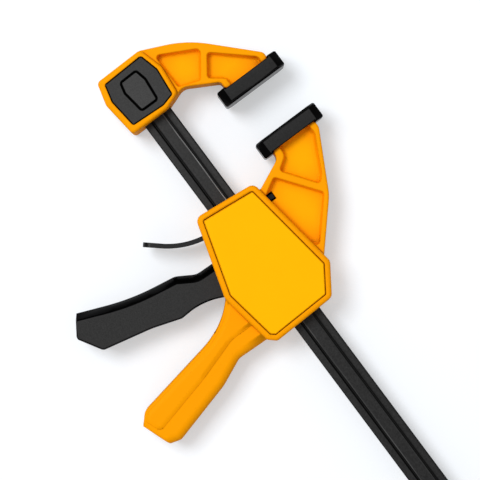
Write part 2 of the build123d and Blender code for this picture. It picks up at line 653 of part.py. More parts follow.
with BuildPart() as jaw_body:
    with BuildSketch(MOVING):
        outline(HOUSING_CORNERS)
    extrude(amount=HOUSING_HALF, both=True)
    fillet(jaw_body.faces().filter_by(Axis.Z).edges(), HOUSING_EDGE)
    add(moving_arm)
    add(handle.part)
    add(plateau.part)
    add(housing_room.part, mode=Mode.SUBTRACT)
    # Seats for the covers
    for up in (1, -1):
        with BuildSketch(MOVING.offset(up * LEDGE_Z)):
            outline(HOUSING_CORNERS)
            offset(amount=-RIM)
        extrude(amount=up * 2 * COVER_THICK, mode=Mode.SUBTRACT)
    # Screw posts, and the seats of the drive spring and the brake spring
    with BuildSketch(MOVING.offset(-LEDGE_Z)):
        with Locations(*SCREW_PLACES):
            Circle(POST_R)
    extrude(amount=LEDGE_Z + POST_TOP)
    with BuildSketch(MOVING):
        seat_end = REAR_WALL_X - RIM / 2
        with Locations(((SPRING_SEAT_X + seat_end) / 2, 0)):
            Rectangle(seat_end - SPRING_SEAT_X, 2 * (DRIVE_COIL_R + DRIVE_WIRE))
        with Locations((SEAT_RIB_X, -HALF_BAR - SEAT_RIB_DOWN)):
            Rectangle(SEAT_RIB_THICK, SEAT_RIB_LONG, align=(Align.MIN, Align.MAX))
    extrude(amount=LEDGE_Z, both=True)
    # Windows for the bar, and the slots for the trigger, the lever and its upper end
    with BuildSketch(Plane(origin=(OPENING, -THROAT, 0), x_dir=(0, 1, 0), z_dir=(1, 0, 0))):
        Rectangle(BAR_WIDTH + 2 * SLIDE_FIT, BAR_THICK + 2 * SLIDE_FIT)
    extrude(amount=HOUSING_END_X + RIM, mode=Mode.SUBTRACT)
    with BuildSketch(MOVING):
        with Locations((TRIGGER_SLOT[0], -HALF_BAR - TRIGGER_SLOT_DOWN)):
            Rectangle(TRIGGER_SLOT[1] - TRIGGER_SLOT[0], TRIGGER_SLOT_LONG, align=(Align.MIN, Align.MAX))
    extrude(amount=TRIGGER_SLOT_Z, both=True, mode=Mode.SUBTRACT)
    with BuildSketch(MOVING):
        with Locations((LEVER_SLOT[0], -HALF_BAR - LEVER_SLOT_DOWN)):
            Rectangle(LEVER_SLOT[1] - LEVER_SLOT[0], LEVER_SLOT_LONG, align=(Align.MIN, Align.MAX))
    extrude(amount=LEVER_SLOT_Z, both=True, mode=Mode.SUBTRACT)
    # The lever's upper end shows in front, and the web closes the hole behind it
    hole_back_z = -LEVER_TONGUE_HALF - PART_GAP
    with BuildSketch(MOVING.offset(hole_back_z)):
        with Locations((LEVER_PIVOT[0], LEVER_PIVOT[1] + LEVER_HOLE_UP)):
            Rectangle(LEVER_THICK + 2 * LEVER_SLOT_GAP, LEVER_HOLE_LONG, align=(Align.CENTER, Align.MAX))
    extrude(amount=LEVER_SLOT_Z - hole_back_z, mode=Mode.SUBTRACT)
    with BuildSketch(MOVING.offset(-HOUSING_HALF)):
        with Locations(*SCREW_PLACES):
            Circle(SCREW_R + PART_GAP)
    extrude(amount=2 * HOUSING_HALF, mode=Mode.SUBTRACT)
write(jaw_body.part, "jaw_body")

write(jaw_pad(MOVING, 1), "moving_jaw_pad")


def cover(up):
    """Let-in cover of the housing, with its boss for the trigger's pin."""
    with BuildPart() as plate:
        with BuildSketch(MOVING.offset(up * LEDGE_Z)):
            outline(HOUSING_CORNERS)
            offset(amount=-(RIM + SEAM))
        extrude(amount=up * COVER_THICK)
        outside = plate.faces().sort_by(Axis.Z)[-1 if up > 0 else 0]
        chamfer(outside.edges(), COVER_EDGE)
        with BuildSketch(MOVING.offset(up * LEDGE_Z)):
            with Locations(TRIGGER_PIVOT):
                Circle(COVER_BOSS_R)
        extrude(amount=-up * (LEDGE_Z - TRIGGER_HALF - PART_GAP))
        with BuildSketch(MOVING.offset(up * PIN_END_Z)):
            with Locations(TRIGGER_PIVOT):
                Circle(TRIGGER_PIN_R + RUNNING_FIT / 2)
        extrude(amount=-up * HOUSING_HALF, mode=Mode.SUBTRACT)
        if up > 0:
            with BuildSketch(MOVING.offset(LEDGE_Z)):
                outline(HOUSING_CORNERS)
                offset(amount=-(RIM + LEDGE + PART_GAP))
                with Locations(*SCREW_PLACES):
                    Circle(POST_R, mode=Mode.INTERSECT)
            extrude(amount=-(LEDGE_Z - POST_TOP - PART_GAP))
            with BuildSketch(MOVING.offset(LEDGE_Z)):
                with Locations(*SCREW_PLACES):
                    Circle(SCREW_R + RUNNING_FIT / 2)
            extrude(amount=-HOUSING_HALF, mode=Mode.SUBTRACT)
        else:
            with BuildSketch(MOVING.offset(-HOUSING_HALF)):
                with Locations(*SCREW_PLACES):
                    Circle(SCREW_HEAD_R + RUNNING_FIT)
            extrude(amount=SCREW_SINK + SCREW_HEAD_THICK, mode=Mode.SUBTRACT)
            with BuildSketch(MOVING.offset(-HOUSING_HALF)):
                with Locations(*SCREW_PLACES):
                    Circle(SCREW_R + RUNNING_FIT / 2)
            extrude(amount=HOUSING_HALF, mode=Mode.SUBTRACT)
    return plate.part


write(cover(1), "cover_front")
write(cover(-1), "cover_back")

with BuildPart() as cover_screws:
    head_in_z = -HOUSING_HALF + SCREW_SINK + SCREW_HEAD_THICK
    with BuildSketch(MOVING.offset(head_in_z)):
        with Locations(*SCREW_PLACES):
            Circle(SCREW_R)
    extrude(amount=LEDGE_Z - PART_GAP - head_in_z)
    with BuildSketch(MOVING.offset(head_in_z)):
        with Locations(*SCREW_PLACES):
            Circle(SCREW_HEAD_R)
    extrude(amount=-SCREW_HEAD_THICK)
write(cover_screws.part, "cover_screws")

with BuildPart() as trigger_pin:
    with BuildSketch(MOVING):
        with Locations(TRIGGER_PIVOT):
            Circle(TRIGGER_PIN_R)
    extrude(amount=PIN_END_Z - PART_GAP, both=True)
write(trigger_pin.part, "trigger_pin")

# --------------------------------------------------------------------------- trigger
with BuildPart() as trigger:
    with BuildSketch(MOVING):
        outline(TRIGGER_CORNERS)
    extrude(amount=TRIGGER_HALF, both=True)
    for side in (-1, 0):
        cap = trigger.faces().sort_by(Axis.Z)[side]
        front = cap.edges().filter_by(in_front_of_trigger)
        chamfer(front, BEVEL_WIDE, BEVEL_DEEP, reference=cap)
        cap = trigger.faces().sort_by(Axis.Z)[side]
        chamfer(cap.edges().filter_by(behind_trigger), TRIGGER_BACK_EDGE)
    with BuildSketch(MOVING):
        with Locations(TRIGGER_PIVOT):
            Circle(TRIGGER_BOSS_R)
        with Locations((NOSE_X, NOSE_Y)):
            Circle(NOSE_R)
    extrude(amount=TRIGGER_HALF, both=True)
    # Fork that straddles the bar
    with BuildSketch(MOVING):
        with Locations((TRIGGER_PIVOT_X, -HALF_BAR - FORK_ROOT_DOWN)):
            Rectangle(2 * NOSE_REACH, 2 * NOSE_REACH, align=(Align.CENTER, Align.MIN))
    extrude(amount=FORK_Z, both=True, mode=Mode.SUBTRACT)
    with BuildSketch(MOVING):
        with Locations(TRIGGER_PIVOT):
            Circle(TRIGGER_PIN_R + RUNNING_FIT)
    extrude(amount=TRIGGER_HALF, both=True, mode=Mode.SUBTRACT)
write(trigger.part, "trigger")

# ----------------------------------------------------------------------- drive plates
for number in range(PLATE_COUNT):
    place_x = OPENING + PLATES_X + number * PLATE_THICK
    station = Plane(origin=(place_x, -THROAT, 0), x_dir=(0, 1, 0), z_dir=(1, 0, 0))
    with BuildPart() as drive_plate:
        with BuildSketch(station):
            with Locations(((PLATE_UP - PLATE_DOWN) / 2, 0)):
                RectangleRounded(BAR_WIDTH + PLATE_UP + PLATE_DOWN, 2 * PLATE_HALF, PLATE_CORNER)
            Rectangle(BAR_WIDTH + 2 * PLATE_FIT, BAR_THICK + 2 * PLATE_FIT, mode=Mode.SUBTRACT)
        extrude(amount=PLATE_THICK)
    write(drive_plate.part, f"drive_plate_{number + 1}")

drive_spring_x = OPENING + PLATES_BACK_X + PART_GAP
drive_spring = coil_spring(
    (drive_spring_x, -THROAT, 0),
    (1, 0, 0),
    DRIVE_COIL_R,
    DRIVE_WIRE,
    OPENING + SPRING_SEAT_X - PART_GAP - drive_spring_x,
    DRIVE_TURNS,
    DRIVE_SPRING_START,
)
write(drive_spring, "drive_spring")

# ----------------------------------------------------------------------- brake lever
tilt = radians(LEVER_TILT)
swing = radians(LEVER_TILT + LEVER_BEND)
lever_top = (
    LEVER_PIVOT[0] + LEVER_TOP * sin(tilt),
    LEVER_PIVOT[1] + LEVER_TOP * cos(tilt),
)
with BuildPart() as brake_lever:
    with BuildSketch(MOVING):
        with BuildLine() as spine:
            blade = PolarLine(lever_top, LEVER_TOP + LEVER_STRAIGHT, -90.0 - LEVER_TILT)
            bend = JernArc(blade @ 1, blade % 1, LEVER_BEND_R, -LEVER_BEND)
            PolarLine(bend @ 1, LEVER_TIP, -90.0 - LEVER_TILT - LEVER_BEND)
        trace(line_width=LEVER_THICK)
    extrude(amount=LEVER_HALF, both=True)
    across_tip = brake_lever.edges().filter_by(lambda edge: abs(edge.length - LEVER_THICK) < TINY)
    fillet(across_tip.group_by(Axis.Y)[0], LEVER_TIP_CORNER)
    # Upper end, narrower than the blade
    for up in (1, -1):
        with BuildSketch(MOVING.offset(up * LEVER_TONGUE_HALF)):
            with Locations((LEVER_PIVOT_X, HALF_BAR + LEVER_TONGUE_UP)):
                Rectangle(LEVER_STRAIGHT, LEVER_STRAIGHT, align=(Align.CENTER, Align.MIN))
        extrude(amount=up * LEVER_HALF, mode=Mode.SUBTRACT)
    window_at = (
        OPENING + LEVER_PIVOT[0] - LEVER_PIVOT[1] * tan(tilt),
        -THROAT,
        0,
    )
    across = Plane(origin=window_at, x_dir=(sin(tilt), cos(tilt), 0), z_dir=(cos(tilt), -sin(tilt), 0))
    with BuildSketch(across):
        Rectangle(BAR_WIDTH + 2 * LEVER_WINDOW_FIT, BAR_THICK + 2 * LEVER_WINDOW_FIT)
    extrude(amount=2 * LEVER_THICK, both=True, mode=Mode.SUBTRACT)
write(brake_lever.part, "brake_lever")

spring_y = -HALF_BAR - BRAKE_SPRING_DOWN
blade_x = LEVER_PIVOT[0] - (LEVER_PIVOT[1] - spring_y) * tan(tilt)
brake_spring_x = OPENING + blade_x + LEVER_THICK / 2 / cos(tilt) + 2 * PART_GAP
brake_spring = coil_spring(
    (brake_spring_x, -THROAT + spring_y, 0),
    (1, 0, 0),
    BRAKE_COIL_R,
    BRAKE_WIRE,
    OPENING + SEAT_RIB_X - PART_GAP - brake_spring_x,
    BRAKE_TURNS,
)
write(brake_spring, "brake_spring")
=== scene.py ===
"""Looks of the one-handed bar clamp: finishes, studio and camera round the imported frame."""
import math

import bpy
from mathutils import Matrix, Vector


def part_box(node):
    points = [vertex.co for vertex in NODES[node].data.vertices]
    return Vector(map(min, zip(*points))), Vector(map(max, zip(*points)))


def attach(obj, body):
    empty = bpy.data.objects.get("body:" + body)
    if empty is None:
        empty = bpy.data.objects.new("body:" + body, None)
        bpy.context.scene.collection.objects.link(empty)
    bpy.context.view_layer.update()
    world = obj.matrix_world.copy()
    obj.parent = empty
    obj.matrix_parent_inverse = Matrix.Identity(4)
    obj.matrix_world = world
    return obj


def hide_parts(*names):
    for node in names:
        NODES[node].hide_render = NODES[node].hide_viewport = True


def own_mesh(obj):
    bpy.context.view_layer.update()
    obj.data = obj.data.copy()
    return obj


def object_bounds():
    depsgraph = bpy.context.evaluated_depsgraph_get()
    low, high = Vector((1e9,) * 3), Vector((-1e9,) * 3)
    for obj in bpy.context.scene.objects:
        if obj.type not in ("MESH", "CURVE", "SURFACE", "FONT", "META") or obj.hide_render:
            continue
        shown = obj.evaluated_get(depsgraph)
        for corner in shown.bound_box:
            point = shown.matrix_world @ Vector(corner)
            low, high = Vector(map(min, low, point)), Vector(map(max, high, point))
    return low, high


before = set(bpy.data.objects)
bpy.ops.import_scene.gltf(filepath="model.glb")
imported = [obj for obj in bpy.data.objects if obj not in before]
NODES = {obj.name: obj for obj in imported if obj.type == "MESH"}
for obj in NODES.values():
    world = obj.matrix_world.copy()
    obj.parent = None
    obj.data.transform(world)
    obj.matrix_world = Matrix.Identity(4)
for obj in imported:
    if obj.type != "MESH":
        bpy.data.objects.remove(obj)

CAD_BOX = [list(corner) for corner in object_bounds()]
MM = 0.001

# ------------------------------------------------------- places on the object, in mm
BAR_Y = -60.5               # centre line of the bar
BAR_HALF = 10.0             # half its width
FLAT_Z = 4.0                # half its thickness
GROOVE_Y = 4.5              # middle of each groove, from the centre line
GROOVE_LIP = 1.05           # from there to the lip with the pale line
RIB_Z = 11.5                # half thickness of the arms' ribs
POCKETS_ABOVE_Y = -43.0     # the arms' pockets lie above this line

COVER_BACK_Z = -17.07       # outside of the screws' heads
SCREW_PLACES = ((54.2, -44.0), (51.6, -73.9), (124.6, -43.5), (125.4, -81.9))
SCREW_SIDES = 40
SCREW_HEAD_R = 2.8
SCREW_HEAD_THICK = 1.8
SCREW_RIM = 0.45
SCREW_RIM_STEPS = 4
SCREW_SHANK_R = 1.5
SCREW_SHANK_LONG = 28.0
SCREW_TIP = 0.5             # chamfer at the end of the shank
CROSS_LONG = 3.1
CROSS_WIDE = 0.8
CROSS_DEEP = 1.1
CROSS_TURNS = (30.0, 120.0)

# ------------------------------------------------------------- meshes, lengths in mm
WELD = 0.002                # CAD corners closer than this are one corner
FLAT_ANGLE = 0.2            # degrees between triangles of one flat
SMOOTH_ANGLE = 32.0         # degrees between facets of one curved surface
BIG_FACES_LEAD = 95         # how far a flat's own normal wins over the curve beside it
TOP_LEVEL = 0.99            # a normal's rise, from which a face is part of a level top
END_LEVEL = 0.9             # the same for a screw's ends

# ------------------------------------------------------------------ studio and camera
FLOOR_Z = CAD_BOX[0][2] - 0.05 * MM
FLOOR_WIDE = 6.0
VIEW_CENTRE = Vector((70.7 * MM, -65.2 * MM, 0.0))
VIEW_RIGHT = Vector((0.5977, 0.8018, 0.0)).normalized()
VIEW_UP = Vector((-0.8018, 0.5977, 0.0)).normalized()
VIEW_WIDTH = 0.300          # seen at the bar's upper face
CAMERA_UP = 1.204
CAMERA_REACH = 20.0
SENSOR = 36.0

KEY_SIZE = 1.0
KEY_AWAY = 2.6
KEY_LEAN = 26.0             # degrees from straight above
KEY_TURN = 32.0             # degrees above the view's left, where it stands
KEY_WATTS = 43.5
TOP_SIZE = 1.6
TOP_UP = 1.9
TOP_WATTS = 3.3
AMBIENT = 0.42
WHITE = "#FFFFFF"
PAPER = "#CCD1D7"
PAPER_GLOW = 0.40           # what the paper adds for the camera, so that it stays white

# ----------------------------------------------------------- finishes, lengths in mm
CLOUD = 22.0                # size of the faint clouds in the orange
POCKET_RIM = 1.6            # from here under a rib's top the painted light of the pockets' floors starts
POCKET_FLOOR = 3.2          # and here it is full
POCKETS_FADE = 1.5
HOLLOW_REACH = 12.0         # how near walls have to be to make a hollow
CORNER_REACH = 2.2          # how near they have to be to make a corner or a seam
SHADE_SAMPLES = 8
SOFT_EDGE = 1.6             # how far the mould's rounding reaches from an edge
SOFT_SAMPLES = 6
WELL_R = 13.5               # the head is hollow or covered this near the button's middle, and painted near black
WELL_FADE = 0.5
MOULD_DEEP = 0.05           # height of the grain that a spark-eroded mould leaves
PLASTIC_IOR = 1.5

DIE_LINE = 0.7              # spacing of the drawing die's lines
DIE_STRETCH = (0.02, 1.0, 1.0)
PIT = 1.1                   # size of the oxide's pits
PIT_DEEP = 0.04
GROOVE_DARK = 0.7           # under the bar's flat the groove's painted shade is all black from here
GROOVE_CLEAR = 0.1          # and begins here
EDGE_DARK = 0.7             # the upper edge's painted shade is darkest up to here
EDGE_CLEAR = 1.8            # and ends here
LIP_OUT = 0.45              # half the pale line with its soft border
LIP_IN = 0.25               # and without it
LINE_SWAP_FROM_X = 90.0          # under the sliding jaw the pale line changes from one side's
LINE_SWAP_TO_X = 110.0           # to the other's
LIP_LINE = ((1, 1.0, 0.05), (-1, 0.0, 0.22))    # groove's side, pale line ahead of the jaw, behind

TIP_DARK_FROM = 5.2              # from the lever's tip, the darker tip's blurred border starts
TIP_DARK_FULL = 4.6              # and here the tip is darkest
SHEET_GRAIN = 0.9
SHEET_DEEP = 0.03
LINE_DEEP = 0.02            # depth of grinding and drawing lines on bare steel

# Settings that many shader nodes share
COLOURS = ("data_type", "RGBA")
DARKEN = ("blend_type", "MULTIPLY")
TIMES = ("operation", "MULTIPLY")
MINUS = ("operation", "SUBTRACT")
LARGER = ("operation", "MAXIMUM")
SIZE = ("operation", "ABSOLUTE")


def in_view(right, up, height):
    """Point at right and up in the view, in metres from its centre, at a height."""
    place = VIEW_CENTRE + VIEW_RIGHT * right + VIEW_UP * up
    place.z = height
    return place


def make_camera():
    """Camera that looks straight down."""
    camera = bpy.data.objects.new("camera", bpy.data.cameras.new("camera"))
    bpy.context.scene.collection.objects.link(camera)
    camera.data.sensor_width = SENSOR
    camera.data.lens = SENSOR * (CAMERA_UP - FLAT_Z * MM) / VIEW_WIDTH
    camera.data.clip_end = CAMERA_REACH
    turn = Matrix((VIEW_RIGHT, VIEW_UP, Vector((0, 0, 1)))).transposed()
    camera.matrix_world = Matrix.Translation(in_view(0, 0, CAMERA_UP)) @ turn.to_4x4()
    bpy.context.scene.camera = camera


def softbox(name, place, target, size, watts):
    """Square soft light that faces a point."""
    light = bpy.data.lights.new(name, "AREA")
    light.shape = "SQUARE"
    light.size = size
    light.energy = watts
    lamp = bpy.data.objects.new(name, light)
    bpy.context.scene.collection.objects.link(lamp)
    lamp.location = place
    lamp.rotation_mode = "QUATERNION"
    lamp.rotation_quaternion = (target - place).to_track_quat("-Z", "Y")


def linear(hex_colour):
    """sRGB hex to the linear colour that a shader socket takes."""
    channels = [int(hex_colour[i:i + 2], 16) / 255 for i in (1, 3, 5)]
    return [c / 12.92 if c <= 0.04045 else ((c + 0.055) / 1.055) ** 2.4
            for c in channels] + [1.0]


def add(tree, kind, settings=(), links=()):
    """One shader node: settings are (socket or property, value), links (socket, output)."""
    node = tree.nodes.new("ShaderNode" + kind)
    for key, value in settings:
        if isinstance(key, str) and key in node.bl_rna.properties and not node.inputs.get(key):
            setattr(node, key, value)
        else:
            node.inputs[key].default_value = value
    for key, output in links:
        tree.links.new(output, node.inputs[key])
    return node


def new_material(name):
    """Empty material with its tree and its output node."""
    made = bpy.data.materials.new(name)
    made.use_nodes = True
    made.node_tree.nodes.clear()
    return made, made.node_tree, add(made.node_tree, "OutputMaterial")


def paper():
    """Matt white paper, which stays white for the camera and in reflections."""
    made, tree, out = new_material("floor_paper")
    rays = add(tree, "LightPath")
    seen = add(tree, "Math", [LARGER],
               [(0, rays.outputs["Is Camera Ray"]), (1, rays.outputs["Is Glossy Ray"])])
    seen = add(tree, "Math", [LARGER],
               [(0, seen.outputs[0]), (1, rays.outputs["Is Transmission Ray"])])
    glow = add(tree, "Math", [TIMES, (1, PAPER_GLOW)], [(0, seen.outputs[0])])
    shader = add(tree, "BsdfPrincipled",
                 [("Base Color", linear(PAPER)), ("Roughness", 0.9), ("Specular IOR Level", 0.1),
                  ("Emission Color", linear(WHITE))],
                 [("Emission Strength", glow.outputs[0])])
    tree.links.new(shader.outputs[0], out.inputs["Surface"])
    return made


def make_studio():
    """White surroundings, a paper floor, and a key light with a weak light overhead."""
    world = bpy.data.worlds.new("studio")
    bpy.context.scene.world = world
    world.use_nodes = True
    tree = world.node_tree
    tree.nodes.clear()
    rays = add(tree, "LightPath")
    dim = add(tree, "Background", [("Color", linear(WHITE)), ("Strength", AMBIENT)])
    white = add(tree, "Background", [("Color", linear(WHITE)), ("Strength", 1.0)])
    both = add(tree, "MixShader", [], [(0, rays.outputs["Is Camera Ray"]),
                                       (1, dim.outputs[0]), (2, white.outputs[0])])
    add(tree, "OutputWorld", [], [("Surface", both.outputs[0])])

    bpy.ops.mesh.primitive_plane_add(size=FLOOR_WIDE,
                                     location=(VIEW_CENTRE.x, VIEW_CENTRE.y, FLOOR_Z))
    floor = bpy.context.object
    floor.name = "floor"
    floor.data.materials.append(paper())

    lean = math.radians(KEY_LEAN)
    turn = math.radians(KEY_TURN)
    aside = KEY_AWAY * math.sin(lean)
    key_place = in_view(-aside * math.cos(turn), aside * math.sin(turn),
                        KEY_AWAY * math.cos(lean))
    softbox("key", key_place, in_view(0, 0, 0), KEY_SIZE, KEY_WATTS)
    softbox("top", in_view(0, 0, TOP_UP), in_view(0, 0, 0), TOP_SIZE, TOP_WATTS)
    bpy.context.scene.view_settings.view_transform = "Standard"


# -------------------------------------------------------------------------- finishes
def level_faces(tree, coord, steep, level):
    """0 on a face whose normal rises by steep or less, 1 where it rises by level or more."""
    facing = add(tree, "SeparateXYZ", [], [(0, coord.outputs["Normal"])])
    rise = add(tree, "Math", [SIZE], [(0, facing.outputs["Z"])])
    return add(tree, "MapRange", [("From Min", steep), ("From Max", level)],
               [("Value", rise.outputs[0])])


def orange_nylon(name, flat, cloud, pocket_light, wall_shade, grain_mm):
    """Glass-filled nylon, injection-moulded in orange.

    Spark-eroded flats scatter the light, so that the colour looks even with a faint cloud
    in it. Painted light makes the floors of the pockets lighter and yellower in the middle.
    The mould's rounding softens every crease. Steep walls get a painted shade of their own,
    redder on the thin cover. Painted bounced light reddens tight inner corners, and painted
    shade turns open seams brown and deep wells nearly black.
    """
    made, tree, out = new_material(name)
    coord = add(tree, "TexCoord")
    place = coord.outputs["Object"]
    axes = add(tree, "SeparateXYZ", [], [(0, place)])
    clouds = add(tree, "TexNoise", [("Scale", 1 / (CLOUD * MM)), ("Detail", 3.0)],
                 [("Vector", place)])
    tint = add(tree, "Mix", [COLOURS, (6, linear(flat)), (7, linear(cloud))],
               [(0, clouds.outputs["Fac"])])

    # Painted light: the floors of the pockets, low in an arm and away from their walls, are
    # painted lighter and yellower
    height = add(tree, "Math", [SIZE], [(0, axes.outputs["Z"])])
    sunk = add(tree, "MapRange", [("From Min", (RIB_Z - POCKET_RIM) * MM),
                                  ("From Max", (RIB_Z - POCKET_FLOOR) * MM)],
               [("Value", height.outputs[0])])
    in_arm = add(tree, "MapRange", [("From Min", POCKETS_ABOVE_Y * MM),
                                    ("From Max", (POCKETS_ABOVE_Y + POCKETS_FADE) * MM)],
                 [("Value", axes.outputs["Y"])])
    floor_light = add(tree, "Math", [TIMES], [(0, sunk.outputs[0]), (1, in_arm.outputs[0])])
    hollow = add(tree, "AmbientOcclusion",
                 [("samples", SHADE_SAMPLES), ("Distance", HOLLOW_REACH * MM)])
    middle = add(tree, "MapRange", [("From Min", 0.55), ("From Max", 0.9)],
                 [("Value", hollow.outputs["AO"])])
    floor_light = add(tree, "Math", [TIMES], [(0, floor_light.outputs[0]), (1, middle.outputs[0])])
    tint = add(tree, "Mix", [COLOURS, (7, linear(pocket_light))],
               [(0, floor_light.outputs[0]), (6, tint.outputs[2])])

    # Painted shade: steep walls get a colour of their own, redder on the thin cover
    level = level_faces(tree, coord, 0.88, 0.97)
    tint = add(tree, "Mix", [COLOURS, (6, linear(wall_shade))],
               [(0, level.outputs[0]), (7, tint.outputs[2])])

    # Painted shade in corners, seams and wells, each darker and with less sky than the one
    # before
    corner = add(tree, "AmbientOcclusion",
                 [("samples", SHADE_SAMPLES), ("Distance", CORNER_REACH * MM)])
    # The first, red shade is painted bounced light in tight corners
    for shade, sky, dark, clear, least in (("#C84400", corner, 0.45, 0.85, 0.35),
                                           ("#4A1000", corner, 0.3, 0.65, 0.0),
                                           ("#601400", hollow, 0.2, 0.4, 0.0)):
        open_air = add(tree, "MapRange", [("From Min", dark), ("From Max", clear),
                                          ("To Min", least)], [("Value", sky.outputs["AO"])])
        tint = add(tree, "Mix", [COLOURS, (6, linear(shade))],
                   [(0, open_air.outputs[0]), (7, tint.outputs[2])])

    # Painted shade: the well under the button never sees light and is painted near black
    low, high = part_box("release_button")
    button_middle = ((low.x + high.x) / 2, (low.y + high.y) / 2, 0)
    seen_from_top = add(tree, "VectorMath", [TIMES, (1, (1, 1, 0))], [(0, place)])
    off = add(tree, "VectorMath", [("operation", "DISTANCE"), (1, button_middle)],
              [(0, seen_from_top.outputs[0])])
    outside = add(tree, "MapRange", [("From Min", WELL_R * MM),
                                     ("From Max", (WELL_R + WELL_FADE) * MM)],
                  [("Value", off.outputs["Value"])])
    tint = add(tree, "Mix", [COLOURS, (6, linear("#0A0400"))],
               [(0, outside.outputs[0]), (7, tint.outputs[2])])

    grain = add(tree, "TexNoise", [("Scale", 1 / (grain_mm * MM)), ("Detail", 2.0),
                                   ("Roughness", 0.6)], [("Vector", place)])
    matt = add(tree, "MapRange", [("To Min", 0.5), ("To Max", 0.62)],
               [("Value", grain.outputs["Fac"])])
    soft = add(tree, "Bevel", [("samples", SOFT_SAMPLES), ("Radius", SOFT_EDGE * MM)])
    relief = add(tree, "Bump", [("Strength", 0.22), ("Distance", MOULD_DEEP * MM)],
                 [("Height", grain.outputs["Fac"]), ("Normal", soft.outputs[0])])
    shader = add(tree, "BsdfPrincipled", [("Specular IOR Level", 0.03), ("IOR", PLASTIC_IOR)],
                 [("Base Color", tint.outputs[2]), ("Roughness", matt.outputs[0]),
                  ("Normal", relief.outputs[0])])
    tree.links.new(shader.outputs[0], out.inputs["Surface"])
    return made


def black_moulded(name, flat, edge, grain_mm, bump, gloss):
    """Black plastic from a mould with two finishes.

    The faces that lie flat in the mould are spark-eroded, rougher and grained; their dark
    grey is a painted sheen. Their bevels and the walls between them come off
    mirror-finished steel, are smoother and look black.
    """
    made, tree, out = new_material(name)
    coord = add(tree, "TexCoord")
    place = coord.outputs["Object"]
    level = level_faces(tree, coord, 0.955, 0.985)
    grain = add(tree, "TexNoise", [("Scale", 1 / (grain_mm * MM)), ("Detail", 3.0),
                                   ("Roughness", 0.65)], [("Vector", place)])
    speck = add(tree, "MapRange", [("From Min", 0.35), ("From Max", 0.7),
                                   ("To Min", 0.82), ("To Max", 1.2)],
                [("Value", grain.outputs["Fac"])])
    tint = add(tree, "Mix", [COLOURS, DARKEN, (0, 1.0), (6, linear(flat))],
               [(7, speck.outputs[0])])
    # Painted sheen: the level faces keep their grey, bevels and walls turn black
    tint = add(tree, "Mix", [COLOURS, (6, linear(edge))],
               [(0, level.outputs[0]), (7, tint.outputs[2])])
    matt = add(tree, "MapRange", [("To Min", 0.24), ("To Max", 0.45)],
               [("Value", level.outputs[0])])
    height = add(tree, "Math", [TIMES], [(0, grain.outputs["Fac"]), (1, level.outputs[0])])
    relief = add(tree, "Bump", [("Strength", bump), ("Distance", MOULD_DEEP * MM)],
                 [("Height", height.outputs[0])])
    shader = add(tree, "BsdfPrincipled", [("Specular IOR Level", gloss), ("IOR", PLASTIC_IOR)],
                 [("Base Color", tint.outputs[2]), ("Roughness", matt.outputs[0]),
                  ("Normal", relief.outputs[0])])
    tree.links.new(shader.outputs[0], out.inputs["Surface"])
    return made


